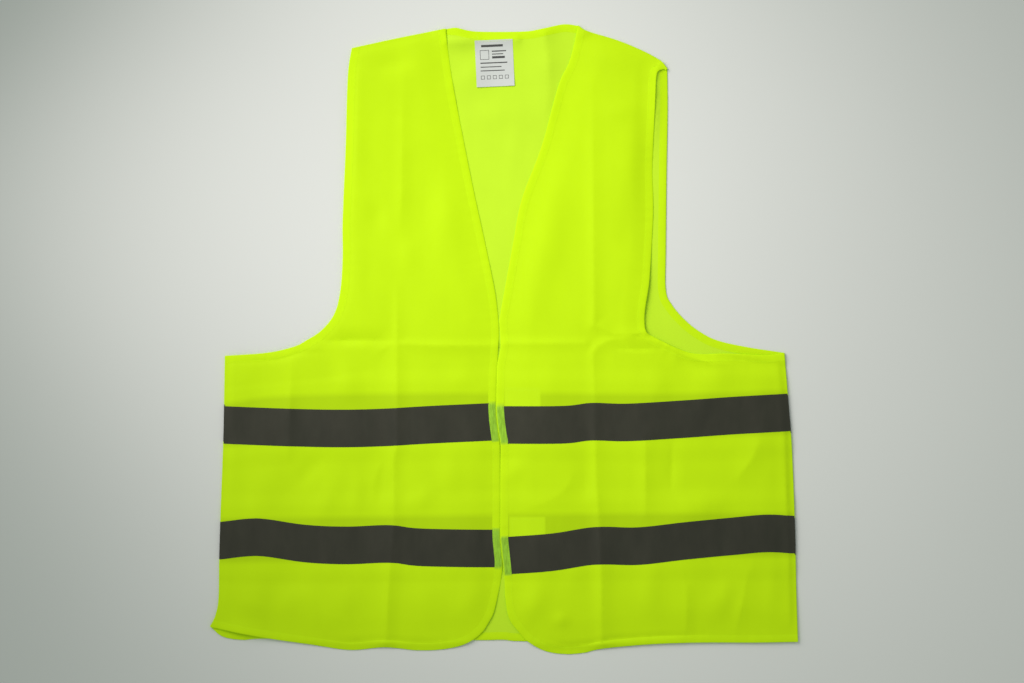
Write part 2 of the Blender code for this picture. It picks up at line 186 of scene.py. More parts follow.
CREASES_RIGHT = (
    (((118, 345), (118.5, 260), (119, 170), (120, 60), (119.5, 19)), (0.2, 0.9, 1.2, 1.3, 1.8), 19, 15),
    (((119.5, 19), (128, 16.5), (146, 6.5), (166, 7), (189, 8)), (1.5, 1.6, 1.5, 1.7, 2.5), 20, 11),
    (((121, -75), (119, -26), (121, -14), (133, -5), (152, 1.5), (186, 1), (217, -8), (232, -18)),
     (1.2, 1.2, 1.3, 1.3, 1.2, 1.7, 2.7, 2.3), 12, 19),
    (((121, -75), (122, -140), (123, -185), (126, -235), (129, -300), (130.5, -405)),
     (1.2, 2, 2.6, 2.8, 3.2, 2.6), 28, 18),
    (((1.5, -5.5), (60, -5.5), (108, -5)), (1.3, 1.5, 1), 11, 17),
    (((217, -8), (244, -22), (271, -30), (300, -34)), (3.4, 3, 2.2, 0.3), 8, 12),
    (((152, -12.5), (185, -13.5), (215, -13)), (-0.5, -1.4, -0.3), 12, 4),
    (((365, -31), (373, -71), (376, -135), (377.5, -215), (381, -295), (382.5, -376)),
     (1, 1.8, 2.2, 2.2, 1.8, 1), 8, 16),
    (((188.5, -128), (188.5, -180), (188.5, -235)), (1.2, 2.3, 1.2), 26, 20),
    (((224.5, -142), (224, -170), (223.5, -204)), (-0.8, -1.9, -0.4), 16, 18),
    (((338, -141), (331, -159), (311, -186)), (1.3, 2.2, 0.7), 26, 28),
    (((15, -231), (59, -215), (83, -198), (95, -172)), (0.2, 0.9, 1.1, 0.2), 28, 26),
    (((243, -330), (243.5, -360), (243, -390)), (0.8, 1.9, 0.8), 17, 26),
    (((325, -313), (317, -355), (309, -388)), (0.9, 2.2, 0.9), 34, 20),
    (((58, -402), (84, -408), (112, -406), (150, -400), (208, -396.5), (270, -394)),
     (-0.2, -1.2, -1, -1.2, -1, -0.2), 8, 5),
)
CREASES_BACK = (
    (((-76, 397), (-52, 398.5), (-20, 400), (19, 400.5), (25, 400.5)), (2.4, 2.9, 2.6, 2.3, 0.2), 11, 18),
    (((55, 408), (60, 346), (55, 280)), (3.4, 3.2, 0.3), 30, 44),
    (((203, 357), (203, 306), (199, 250)), (2.6, 2.8, 0.1), 13, 22),
)
# Soft swells of the cloth between the creases: x, y, how long and how wide, turn in degrees, height.
SWELLS_LEFT = (
    (-80, 165, 45, 18, 90, 1.6), (-170, 164, 20, 12, 90, -1.4), (-150, 368, 26, 12, 10, -1.6),
    (-197, 255, 75, 13, 90, 1.6), (-196, 90, 50, 13, 90, 1.2), (-128, 112, 20, 14, 90, 1.2),
    (-352, -55, 40, 22, 90, 1.8), (-208, -56, 22, 18, 90, 1.8), (-262, -178, 22, 11, 50, -1.3),
    (-196, -205, 24, 10, 90, 1.2), (-70, -178, 26, 16, 90, 1.8), (-360, -180, 60, 10, 90, 1.3),
    (-108, -210, 20, 14, 30, 1.5), (-236, -215, 30, 14, 70, 1.4), (-318, -200, 40, 20, 70, 1.6),
    (-38, -345, 32, 18, 80, 2.2), (-210, -345, 34, 22, 60, 1.8), (-275, -345, 26, 18, 20, 1.5),
    (-330, -345, 36, 18, 80, 1.7), (-352, -395, 34, 16, -10, 4), (-105, -345, 30, 18, 100, 1.5),
    (-60, -55, 26, 18, 30, 1.2),
)
SWELLS_RIGHT = (
    (201, 328, 34, 18, 90, 1.7), (170, 240, 60, 16, 90, 0.9), (168, 140, 50, 16, 90, -0.9),
    (192, 52, 44, 21, 90, 3.6), (142, 378, 40, 15, -15, 2.4), (155, 305, 22, 14, 0, 1.4),
    (160, 210, 60, 18, 95, 1.2), (60, 120, 70, 18, 80, 1.2), (160, 90, 40, 18, 80, 1.3),
    (118, -211, 16, 12, 90, 1.2), (205, -60, 26, 15, 90, 1.4), (275, -62, 40, 22, 60, 1.3),
    (60, -55, 40, 22, 80, 1.1), (12, -176, 15, 13, 30, 1.5), (262, -224, 38, 18, 15, 2.2),
    (42, -350, 26, 16, 70, 2), (76, -374, 10, 9, 0, 1.6), (194, -332, 36, 15, 90, 2.2),
    (292, -345, 30, 17, 60, 2.4), (90, -325, 34, 18, 70, 1.4), (358, -330, 40, 15, 85, 1.6),
)
SWELLS_BACK = (
    (-66, 404, 22, 16, -12, 3.2), (-46, 352, 26, 17, 42, 1.5), (13, 250, 50, 12, 80, 0.8),
    (-12, 300, 34, 18, 0, 1.5), (20, 180, 60, 20, 75, 1),
)
# The front's waves that the solids have too, and finer ones: lengths across and up, phase, height.
WAVES = ((150, 900, 0.3, 0.45), (-95, 520, 1.9, 0.30), (330, -310, 4.1, 0.35))
FINE_WAVES = (
    (97, 260, 0.7, 0.10), (-71, 190, 2.9, 0.07), (130, -150, 5.0, 0.12), (-54, -330, 1.2, 0.04),
    (310, 84, 3.3, 0.12),
)
BACK_WAVES = ((74, 520, 0.4, 0.10), (-120, 310, 2.2, 0.14), (49, -640, 4.4, 0.05))

BACK_UNEVEN, BACK_PUCKER = 0.6, 0.5  # how much of its waves and puckers the back has
PUCKER, PUCKER_LENGTH, PUCKER_REACH = 0.12, 15, 10.0  # the small waves beside sewn edges
TAPE_PUCKER, TAPE_PUCKER_LENGTH, TAPE_PUCKER_REACH = 0.10, 23, 8.0
CREST_ROUND = 0.8
CREST_UNEVEN, CREST_UNEVEN_LENGTH = 0.15, 70.0
PATCH_PRINT = 0.03  # how much a patch lifts the cloth over it
PATCH_RAMP = 3.0


def smooth(points, step):
    """A curve through the points, as an array of places about a step apart."""
    given = [np.array(point, float) for point in points]
    given = [2 * given[0] - given[1], *given, 2 * given[-1] - given[-2]]
    curve = []
    for before, start, end, after in zip(given, given[1:], given[2:], given[3:]):
        count = max(1, round(float(norm(end - start)) / step))
        for t in np.arange(count) / count:
            curve.append(0.5 * (2 * start + (end - before) * t
                                + (2 * before - 5 * start + 4 * end - after) * t**2
                                + (3 * start - before - 3 * end + after) * t**3))
    return np.array([*curve, given[-2]])


def edge(points):
    return smooth(points, EDGE_STEP)


def steps(path):
    return norm(np.diff(path, axis=0), axis=1)


def length_of(path):
    return float(steps(path).sum())


def travelled(path):
    """How far along a path each of its places lies."""
    return np.concatenate([[0], np.cumsum(steps(path))])


def lengthened(path, by=OVERRUN):
    """The path with a straight end added at each end."""
    start, end = path[0] - path[1], path[-1] - path[-2]
    return np.vstack([path[0] + start / norm(start) * by, path, path[-1] + end / norm(end) * by])


def inward(path):
    """Unit vectors to the right of a path, into the cloth."""
    run = np.gradient(path, axis=0)
    run /= norm(run, axis=1)[:, None]
    return np.column_stack([run[:, 1], -run[:, 0]])


def beside(path, inset):
    return path + inward(path) * inset


def strip(path, low, high):
    """The outline of the cloth between two distances from a bound edge."""
    long_path = lengthened(path)
    return np.vstack([beside(long_path, low), beside(long_path, high)[::-1]])


def in_parts(places, size=3000):
    return np.array_split(places, len(places) // size + 1)


def inside(places, outline):
    """Which places lie within a closed outline."""
    ax, ay = outline.T
    bx, by = np.roll(outline, -1, axis=0).T
    found = []
    for part in in_parts(places):
        x, y = part[:, :1], part[:, 1:]
        with np.errstate(divide="ignore", invalid="ignore"):
            crossing = ((ay > y) != (by > y)) & (x < (bx - ax) * (y - ay) / (by - ay) + ax)
        found.append(crossing.sum(axis=1) % 2 == 1)
    return np.concatenate(found)


def nearest(places, path):
    """How far each place lies from an open path, how far along that is, and whether on its left."""
    start, run = path[:-1], np.diff(path, axis=0)
    length, before = steps(path), travelled(path)[:-1]
    found = []
    for part in in_parts(places):
        offset = part[:, None, :] - start
        share = np.clip((offset * run).sum(-1) / length**2, 0, 1)
        far = norm(offset - share[..., None] * run, axis=-1)
        pick = far.argmin(axis=1)
        rows = np.arange(len(part))
        beside_it = offset[rows, pick]
        on_left = run[pick, 0] * beside_it[:, 1] > run[pick, 1] * beside_it[:, 0]
        found.append((far[rows, pick], before[pick] + share[rows, pick] * length[pick], on_left))
    return [np.concatenate(parts) for parts in zip(*found)]


def distance(places, path):
    return nearest(places, path)[0]


def tape_offset(places, tape):
    """How far above a tape's middle line each place lies."""
    line = edge(tape)
    return places[:, 1] - np.interp(places[:, 0], line[:, 0], line[:, 1])


def on_tapes(places, tapes, ramp):
    """1 on the tapes, falling to 0 over the ramp beside them."""
    level = np.zeros(len(places))
    for tape in tapes:
        off = np.abs(tape_offset(places, tape))
        level = np.maximum(level, np.clip((TAPE_HALF + ramp - off) / ramp, 0, 1))
    return level


def in_box(places, middle, ramp):
    """1 over a closure's patch, falling to 0 over the ramp round it."""
    off = np.abs(places - np.array(middle)).max(axis=1) - CLOSURE_SIZE / 2
    return np.clip(1 - off / ramp, 0, 1)


def tape_lines(tape, *offsets):
    """Lines along a tape at distances up from its middle line, past the cloth at both ends."""
    line = lengthened(edge(tape))
    return [line + (0, offset) for offset in offsets]


def tape_outline(tape):
    upper, lower = tape_lines(tape, TAPE_HALF, -TAPE_HALF)
    return np.vstack([upper, lower[::-1]])


def turned_box(middle, size, tilt=0.0):
    """The corners of a rectangle, clockwise."""
    across = np.array([math.cos(tilt), math.sin(tilt)]) * size[0] / 2
    up = np.array([-math.sin(tilt), math.cos(tilt)]) * size[1] / 2
    return np.array(middle) + np.array([up - across, up + across, across - up, -up - across])


def square(middle, size):
    return turned_box(middle, (size, size))


def ring(corners):
    """A box's outline in short steps."""
    return np.vstack([np.linspace(a, b, BOX_STEPS, endpoint=False)
                      for a, b in zip(corners, np.roll(corners, -1, axis=0))])


def joined(*edges):
    """Edges that follow on from each other, as one outline."""
    return np.vstack([part[:-1] for part in edges])


BACK_TAPES = (BAND_BACK_UPPER, BAND_BACK_LOWER)
BACK_BOUND = [edge(points) for points in (BACK_NECK, ARMHOLE_RIGHT_BACK, BACK_HEM, ARMHOLE_LEFT)]
BACK_HEM_EDGE = BACK_BOUND[2]
SEAMS = [edge(points) for points in (SHOULDER_RIGHT, SIDE_RIGHT, SIDE_LEFT, SHOULDER_LEFT)]
BACK_OUTLINE = joined(*(path for pair in zip(BACK_BOUND, SEAMS) for path in pair))


# Heights.

def eased(share):
    """0 to 1, level at both ends."""
    share = np.clip(share, 0, 1)
    return share * share * (3 - 2 * share)


def cleared(off, margin, fall):
    return 1 - eased((off - margin) / fall)


def ripple(along, length, seed):
    """An uneven wave of about that length, between -1 and 1."""
    turn = 2 * math.pi * along / length
    swing = np.sin(turn + 1.7 * np.sin(turn / 3.7 + seed) + seed)
    return swing * (0.6 + 0.4 * np.sin(turn / 5.3 + 2.3 * seed))


def wave_height(flat, waves):
    total = np.zeros(len(flat))
    for along_x, along_y, phase, height in waves:
        turn = flat[:, 0] / along_x + flat[:, 1] / along_y
        total += height * np.sin(2 * math.pi * turn + phase)
    return total


def fold_lines(creases):
    return [smooth(points, FOLD_STEP) for points, *_ in creases]


def crease_rise(flat, creases):
    """How far the creases raise the cloth, or lower it: each has a crisp line and two soft sides."""
    crest, trough = np.zeros(len(flat)), np.zeros(len(flat))
    for points, rises, left, right in creases:
        path, reach = smooth(points, FOLD_STEP), max(left, right)
        near = ((flat > path.min(axis=0) - reach) & (flat < path.max(axis=0) + reach)).all(axis=1)
        off, along, on_left = nearest(flat[near], path)
        off = np.sqrt(off**2 + CREST_ROUND**2) - CREST_ROUND
        rise = np.interp(along, travelled(points), rises)
        rise *= 1 + CREST_UNEVEN * ripple(along, CREST_UNEVEN_LENGTH, points[0][0])
        side = rise * np.clip(1 - off / np.where(on_left, left, right), 0, 1) ** 2
        crest[near], trough[near] = np.maximum(crest[near], side), np.minimum(trough[near], side)
    return crest + trough


def swell_rise(flat, swells):
    """How far the soft swells raise the cloth. They fade over their length and width."""
    total = np.zeros(len(flat))
    for x, y, long, wide, degrees, height in swells:
        turn = math.radians(degrees)
        across, up = flat[:, 0] - x, flat[:, 1] - y
        along = (across * math.cos(turn) + up * math.sin(turn)) / long
        aside = (up * math.cos(turn) - across * math.sin(turn)) / wide
        total += height * np.exp(-along**2 - aside**2)
    return total


def puckers(flat, bound, tapes, seed):
    """The small waves that sewing gathers beside the bound edges and the tapes."""
    total = np.zeros(len(flat))
    for number, path in enumerate(bound):
        off, along, _ = nearest(flat, path)
        fade = np.exp(-np.maximum(off - BINDING_WIDTH, 0) / PUCKER_REACH)
        total += PUCKER * fade * ripple(along, PUCKER_LENGTH + 2 * number, seed + number)
    for number, tape in enumerate(tapes):
        off = np.abs(np.abs(tape_offset(flat, tape)) - TAPE_HALF)
        fade = np.exp(-off / TAPE_PUCKER_REACH)
        length = TAPE_PUCKER_LENGTH - 3 * number
        total += TAPE_PUCKER * fade * ripple(flat[:, 0], length, seed + 3.1 * number)
    return total


def back_rise(flat):
    return crease_rise(flat, CREASES_BACK) + swell_rise(flat, SWELLS_BACK)


def back_height(flat):
    """The level that the back's solid starts at, with its unevenness."""
    gathers = np.abs(puckers(flat, BACK_BOUND, (), 2.0))
    uneven = wave_height(flat, BACK_WAVES) * BACK_UNEVEN + BACK_PUCKER * gathers
    return BACK_LIFT + uneven + back_rise(flat)


def seam_share(off):
    """How much of its lift a front has at a distance from a seam."""
    return (SEAM_STEEP_SHARE * eased(off / SEAM_STEEP_WIDTH)
            + (1 - SEAM_STEEP_SHARE) * eased(off / SEAM_RISE_WIDTH))


def front_height(flat, side):
    """The level that a front's solid starts at, with its creases and puckers."""
    under = np.zeros(len(flat))
    for path, cover in zip(BACK_BOUND, EDGE_COVERS):
        under = np.maximum(under, cleared(distance(flat, path) - BINDING_WIDTH, *cover))
    for tape in BACK_TAPES:
        off = distance(flat, edge(tape)) - TAPE_HALF - TAPE_RAMP
        under = np.maximum(under, cleared(off, COVER_MARGIN, COVER_FALL))
    from_seam = np.min([distance(flat, path) for path in SEAMS], axis=0)
    lift = LOFT + wave_height(flat, WAVES)
    from_hem = distance(flat, BACK_HEM_EDGE)
    lift *= HEM_LOFT + (1 - HEM_LOFT) * eased(from_hem / HEM_EASE)
    sunk = np.zeros(len(flat))
    for path, (drop, reach) in zip(side.bound, side.settled):
        close = 1 - eased(distance(flat, path) / reach)
        lift *= 1 - drop * close
        sunk = np.maximum(sunk, EDGE_SINK * close)
    uneven = (crease_rise(flat, side.creases) + swell_rise(flat, side.swells)
              + wave_height(flat, FINE_WAVES))
    sunk *= eased(from_seam / SEAM_STEEP_WIDTH)
    height = LAYER - sunk + LAYER * under + (lift + uneven) * seam_share(from_seam) + back_rise(flat)
    past_hem = ~inside(flat, BACK_OUTLINE) & (from_hem < OVERRUN * 2) & (from_seam > SEAM_HELD)
    drop = eased((from_hem - DROP_START) / DROP_WIDTH)
    height = np.where(past_hem, height * (1 - drop), height)
    for middle in side.closures:
        height += PATCH_PRINT * in_box(flat, middle, PATCH_RAMP)
    return height + puckers(flat, side.bound, side.tapes, side.seed) + PUCKER


# Meshes.

Cloth = namedtuple("Cloth", "places triangles outline heights")


def apart(places, fixed):
    """How far each place lies from the nearest of the fixed ones."""
    tree = KDTree(len(fixed))
    for number, (x, y) in enumerate(fixed):
        tree.insert((x, y, 0), number)
    tree.balance()
    return np.array([tree.find((x, y, 0))[2] for x, y in places])


def cloth_map(outline, lines, boxes, grid, height):
    """One layer of cloth as triangles, with edges along its outline, the lines and the boxes."""
    places, edges = [], []
    paths = [(outline, True), *((line, False) for line in lines), *((ring(box), True) for box in boxes)]
    for path, closed in paths:
        first = len(places)
        places.extend(path)
        edges.extend((first + i, first + i + 1) for i in range(len(path) - 1))
        if closed:
            edges.append((len(places) - 1, first))
    low, high = outline.min(axis=0), outline.max(axis=0)
    rows = np.array([(x + grid / 2 * (row % 2), y)
                     for row, y in enumerate(np.arange(low[1], high[1], grid * ROW_STEP))
                     for x in np.arange(low[0], high[0], grid)])
    rows = rows[inside(rows, outline)]
    places.extend(rows[apart(rows, places) > grid * CLEAR_OF_LINES])
    flat, _, triangles, *_ = delaunay_2d_cdt([Vector(place) for place in places], edges, [], 0, SAME_PLACE)
    flat = np.array([tuple(place) for place in flat])
    return Cloth(flat, np.array([tuple(face) for face in triangles]), outline, height(flat))


def within(cloth, outline):
    """Which of the map's triangles lie within an outline."""
    return inside(cloth.places[cloth.triangles].mean(axis=1), outline)


def panel_of(cloth, bound):
    """Which triangles are the panel's own cloth. It ends a little way into its bindings."""
    kept = within(cloth, cloth.outline)
    for path in bound:
        kept &= ~within(cloth, strip(path, -OVERRUN / 2, BINDING_INSET))
    return kept


def placed(name, data):
    obj = bpy.data.objects.new(name, data)
    bpy.context.scene.collection.objects.link(obj)
    return obj


def made(name, vertices, faces, materials, marks=None):
    """An object from points in millimetres, smooth but for its sharp edges."""
    mesh = bpy.data.meshes.new(name)
    mesh.from_pydata((np.asarray(vertices) * MM).tolist(), [], faces)
    for material in materials:
        mesh.materials.append(material)
    mesh.shade_smooth()
    mesh.set_sharp_from_angle(angle=math.radians(50))
    if marks is not None:
        layer = mesh.attributes.new(MARKS, "FLOAT_COLOR", "POINT")
        layer.data.foreach_set("color", np.column_stack([marks, np.ones(len(marks))]).ravel())
    obj = placed(name, mesh)
    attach(obj, "root")
    return obj


def sheet_faces(lower, count):
    """A sheet's two sides and the wall round its rim, from the faces of its lower side."""
    ways = {way: way[::-1] for face in lower for way in zip(face, face[1:] + face[:1])}
    rim = [way for way, back in ways.items() if back not in ways]
    upper = [[i + count for i in face] for face in lower]
    return upper + [face[::-1] for face in lower] + [(a, b, b + count, a + count) for a, b in rim]


def shell(name, cloth, kept, low, high, material, marks=None):
    """A thin closed sheet between two levels over the kept triangles of a cloth map."""
    used, numbers = np.unique(cloth.triangles[kept], return_inverse=True)
    flat, height = cloth.places[used], cloth.heights[used]
    vertices = np.vstack([np.column_stack([flat, height + level]) for level in (low, high)])
    faces = sheet_faces(numbers.reshape(-1, 3).tolist(), len(used))
    if marks is not None:
        marks = np.vstack([marks[used], marks[used]])
    return made(name, vertices, faces, [material], marks)


def seam_way(corner):
    """The unit vector from a panel's corner along the seam that starts or ends there."""
    for seam in SEAMS:
        for line in (seam, seam[::-1]):
            if norm(line[0] - corner) < 1:
                way = line[3] - line[0]
                return way / norm(way)
    raise ValueError("no seam meets this corner")


LEAST_TURN = 0.35  # limits how far an end that meets its seam at a slant is stretched


def ways_between_seams(path):
    """Vectors into the cloth, square to the path, and along the seams at its two ends."""
    straight = inward(path)
    along, ways = travelled(path), straight
    for end, reach in ((0, along), (-1, along[-1] - along)):
        seam = seam_way(path[end])
        skewed = seam / max(float(seam @ straight[end]), LEAST_TURN)
        weight = np.clip(1 - reach / OVERRUN, 0, 1)[:, None] ** 2
        ways = ways * (1 - weight) + skewed * weight
    return ways


def ring_sides(rings, around):
    """The sides of each ring of a tube but the last, as pairs. Its places are numbered ring by ring."""
    return [(first + j, first + (j + 1) % around)
            for first in range(0, (rings - 1) * around, around) for j in range(around)]


def sweep(name, path, ways, across, up, materials, marks=None, paint=None):
    """A closed strip along a path. across and up are arrays of a row for each place of the path."""
    count, around = up.shape
    flat = path[:, None, :] + ways[:, None, :] * across[..., None]
    vertices = np.dstack([flat, up]).reshape(-1, 3)
    faces = [(a, a + around, b + around, b) for a, b in ring_sides(count, around)]
    faces += [tuple(range(around)), tuple(range((count - 1) * around, count * around))[::-1]]
    obj = made(name, vertices, faces, materials, marks)
    if paint is not None:
        numbers = np.concatenate([np.repeat(paint[:-1], around), [0, 0]]).astype(np.int32)
        obj.data.polygons.foreach_set("material_index", numbers)
    return obj


# A folded binding across: out along its underside, round the fold, back over the top with the dip
# that the stitches pull, then the inner side. The cloth's edge lies in it. Each pair is across, up.
EDGING = (
    (10.0, 0.20), (6.0, 0.14), (2.5, 0.14), (0.8, 0.20), (-0.1, 0.36), (-0.38, 0.60), (-0.1, 0.86),
    (0.9, 1.08), (2.6, 1.22), (4.6, 1.27), (6.4, 1.24), (7.7, 1.18), (8.4, 1.15), (9.0, 1.13),
    (9.7, 1.10), (10.0, 1.07), (9.9, 1.05), (6.0, 1.04), (2.4, 1.02), (1.4, 0.76), (2.4, 0.48),
    (6.0, 0.48), (9.9, 0.48),
)
EDGING_TOP = 1.03  # what is higher is on top, over the cloth
EDGING_CUT = 22.0  # a binding's width before it is folded
EDGING_OVER_TAPE = 0.37  # how much the tape's end lifts the binding over it
STITCH_INSET, STITCH_LEVEL = 8.4, 1.13  # where the edging's row of stitches lies


def over_tape(flat, tapes):
    return EDGING_OVER_TAPE * on_tapes(flat, tapes, 3.0)


def edging(name, path, height, tapes=()):
    """A folded binding round a panel's edge."""
    across, level = np.array(EDGING).T
    across = np.tile(across, (len(path), 1))
    ways = ways_between_seams(path)
    flat = (path[:, None, :] + ways[:, None, :] * across[..., None]).reshape(-1, 2)
    base = height(flat).reshape(across.shape)
    base += np.where(level > EDGING_TOP, over_tape(flat, tapes).reshape(across.shape), 0)
    dark = on_tapes(flat, tapes, 2.0).reshape(across.shape) * eased((across + 0.6) / 2)
    dark = np.where(level > 0.5, dark, 0)
    marks = np.column_stack([dark.ravel(), np.zeros((dark.size, 2))])
    return sweep(name, path, ways, across, base + level, [BINDING_LOOK], marks)


STITCH_PITCH = 3.0
STITCH_LENGTH = 2.3
STITCH_RADIUS = 0.12
STITCH_SIDES = 5
STITCH_RINGS = ((-0.5, 0.35), (-0.36, 1.0), (0.36, 1.0), (0.5, 0.35))  # place along, share of the radius


def stitching(name, rows, material):
    """Rows of single stitches as one mesh. A row is a path and the height of what it is sewn through."""
    middles, alongs = [], []
    for path, surface in rows:
        reach = travelled(path)
        places = np.arange(STITCH_PITCH / 2, reach[-1], STITCH_PITCH)
        ends = []
        for shift in (-STITCH_LENGTH / 2, STITCH_LENGTH / 2):
            flat = np.column_stack([np.interp(places + shift, reach, path[:, i]) for i in (0, 1)])
            ends.append(np.column_stack([flat, surface(flat)]))
        middles.append((ends[0] + ends[1]) / 2)
        alongs.append(ends[1] - ends[0])
    middle, along = np.vstack(middles), np.vstack(alongs)
    side = np.column_stack([along[:, 1], -along[:, 0], np.zeros(len(along))])
    side /= norm(side, axis=1)[:, None]
    up = np.cross(side, along)
    up /= norm(up, axis=1)[:, None]
    turns = 2 * math.pi * np.arange(STITCH_SIDES) / STITCH_SIDES
    rings = []
    for place, share in STITCH_RINGS:
        centre = middle + along * place
        for turn in turns:
            rings.append(centre + STITCH_RADIUS * share * (math.cos(turn) * side + math.sin(turn) * up))
    vertices = np.stack(rings, axis=1)
    around, count = STITCH_SIDES, vertices.shape[1]
    faces = [(a, b, b + around, a + around) for a, b in ring_sides(len(STITCH_RINGS), around)]
    faces += [tuple(range(around))[::-1], tuple(range(count - around, count))]
    every = [tuple(i + count * stitch for i in face) for stitch in range(len(middle)) for face in faces]
    obj = made(name, vertices.reshape(-1, 3), every, [material])
    return obj


# Materials.

class Look:
    """Short calls that build one material's nodes."""

    def __init__(self, name, roughness, specular, sheen=0.0, sheen_colour=(1, 1, 1), metallic=0.0):
        self.material = bpy.data.materials.new(name)
        self.material.use_nodes = True
        self.tree = self.material.node_tree
        self.shader = self.tree.nodes["Principled BSDF"]
        for socket, value in (("Roughness", roughness), ("Specular IOR Level", specular),
                              ("Metallic", metallic), ("Sheen Weight", sheen), ("Sheen Roughness", 0.6),
                              ("Sheen Tint", rgb(*sheen_colour))):
            self.shader.inputs[socket].default_value = value
        self.place = self.stretched(self.add("ShaderNodeTexCoord").outputs["Object"], (1 / MM,) * 3)
        self.x, self.y, _ = self.add("ShaderNodeSeparateXYZ", {0: self.place}).outputs

    def add(self, kind, sockets=(), **settings):
        node = self.tree.nodes.new(kind)
        for name, value in settings.items():
            setattr(node, name, value)
        for key, value in dict(sockets).items():
            if isinstance(value, bpy.types.NodeSocket):
                self.tree.links.new(value, node.inputs[key])
            else:
                node.inputs[key].default_value = value
        return node

    def math(self, operation, *values):
        return self.add("ShaderNodeMath", dict(enumerate(values)), operation=operation).outputs[0]

    def scaled(self, value, factor, shift=0.0):
        return self.math("MULTIPLY_ADD", value, factor, shift)

    def product(self, first, *rest):
        for value in rest:
            first = self.math("MULTIPLY", first, value)
        return first

    def stretched(self, place, factors):
        return self.add("ShaderNodeVectorMath", {0: place, 1: factors}, operation="MULTIPLY").outputs[0]

    def shaded(self, colour, shade):
        return self.add("ShaderNodeVectorMath", {0: colour, 3: shade}, operation="SCALE").outputs[0]

    def wave(self, place, length):
        """A sine along one axis, between -1 and 1."""
        return self.math("SINE", self.scaled(place, 2 * math.pi / length))

    def bumps(self, length):
        """Rows of small bumps across and up, between -1 and 1."""
        return self.product(self.wave(self.x, length), self.wave(self.y, length))

    def noise(self, along_x, along_y, detail=2.0):
        """Soft noise of about that size in millimetres each way, from 0 to 1."""
        place = self.stretched(self.place, (1 / along_x, 1 / along_y, 1 / along_x))
        return self.add("ShaderNodeTexNoise", {"Vector": place, "Scale": 1.0, "Detail": detail}).outputs[0]

    def mix(self, share, low, high):
        return self.add("ShaderNodeMix", {0: share, 6: low, 7: high}, data_type="RGBA").outputs[2]

    def marks(self):
        """What the cloth shows of what is under it: a tape, a patch, nothing."""
        colour = self.add("ShaderNodeAttribute", attribute_name=MARKS).outputs["Color"]
        return self.add("ShaderNodeSeparateColor", {0: colour}).outputs

    def finish(self, colour, height=None, depth=0.1, strength=1.0, roughness=None):
        """Colour, and bumps whose height is given in parts of the depth, in millimetres."""
        links = {"Base Color": colour, "Roughness": roughness}
        if height is not None:
            sockets = {"Height": height, "Distance": depth * MM, "Strength": strength}
            links["Normal"] = self.add("ShaderNodeBump", sockets).outputs[0]
        for name, output in links.items():
            if output is not None:
                self.tree.links.new(output, self.shader.inputs[name])
        return self.material


def rgb(red, green, blue):
    return (red, green, blue, 1.0)


WALE, COURSE = 1.15, 1.0  # the knit's gauge across and up
KNIT = (0.585, 0.88, 0.002)
PALE_KNIT = (0.58, 0.88, 0.023)
BINDING = (0.602, 0.905, 0.005)
TAPE_THROUGH_BINDING = (0.28, 0.55, 0.045)


def knit_look():
    """Fluorescent warp knit: fine upright wales that zigzag, a little darker in their hollows, with soft
    upright streaks. The hollows and the streaks are painted shade.
    """
    look = Look("warp_knit", 0.65, 0.13, sheen=0.04, sheen_colour=KNIT)
    courses = look.wave(look.y, COURSE)
    wales = look.wave(look.math("ADD", look.x, look.scaled(courses, 0.22)), WALE)
    over_tape, over_patch, inside_back = look.marks()
    # Painted shade: the soft upright streaks stand for faint undulations of the cloth, and the wales darken
    # in their hollows in step with their bumps.
    shade = look.product(look.scaled(look.noise(19, 240, 3.0), 0.03, 0.985),
                         look.scaled(look.noise(32, 44), 0.06, 0.97),
                         look.scaled(wales, 0.008, 1.0), look.scaled(over_tape, -0.17, 1.0))
    paleness = look.math("MAXIMUM", look.scaled(over_patch, 0.11), inside_back)
    base = look.mix(paleness, rgb(*KNIT), rgb(*PALE_KNIT))
    stitch = look.math("ADD", wales, look.scaled(courses, 0.3))
    height = look.math("ADD", look.scaled(stitch, 0.35, 0.5), look.scaled(look.noise(0.5, 0.9), 0.5))
    return look.finish(look.shaded(base, shade), height, depth=0.08, strength=0.5,
                       roughness=look.scaled(look.noise(3, 9), 0.2, 0.55))


def binding_look():
    """The same cloth doubled, a little brighter, with a fine rib. The tape's ends show through it."""
    look = Look("edging_cloth", 0.7, 0.08, sheen=0.04, sheen_colour=(0.7, 1.0, 0.05))
    threads = look.scaled(look.noise(1.7, 9), 1.1, 0.42)
    over_tape = look.marks()[0]
    base = look.mix(look.scaled(over_tape, 0.9), rgb(*BINDING), look.shaded(TAPE_THROUGH_BINDING, threads))
    shade = look.scaled(look.noise(9, 9, 3.0), 0.05, 0.975)
    height = look.math("ADD", look.scaled(look.bumps(0.7), 0.4, 0.5), look.scaled(look.noise(0.6, 0.6), 0.5))
    return look.finish(look.shaded(base, shade), height, depth=0.08, strength=0.5)


def tape_look():
    """Retroreflective tape: grey glass beads on a dense cloth, with a few brighter specks."""
    look = Look("reflective_tape", 0.5, 0.3, sheen=0.05, metallic=0.25)
    beads = look.noise(0.12, 0.12, 0.0)
    specks = look.math("GREATER_THAN", look.noise(0.5, 0.5, 0.0), 0.78)
    shade = look.product(look.scaled(look.noise(22, 40, 3.0), 0.4, 0.8), look.scaled(specks, 0.35, 1.0))
    base = look.mix(look.noise(17, 50), rgb(0.029, 0.0295, 0.019), rgb(0.045, 0.042, 0.0295))
    height = look.math("ADD", look.scaled(look.bumps(0.55), 0.3, 0.5), look.scaled(beads, 0.6))
    return look.finish(look.shaded(base, shade), height, depth=0.05, strength=0.5,
                       roughness=look.scaled(beads, 0.3, 0.38))


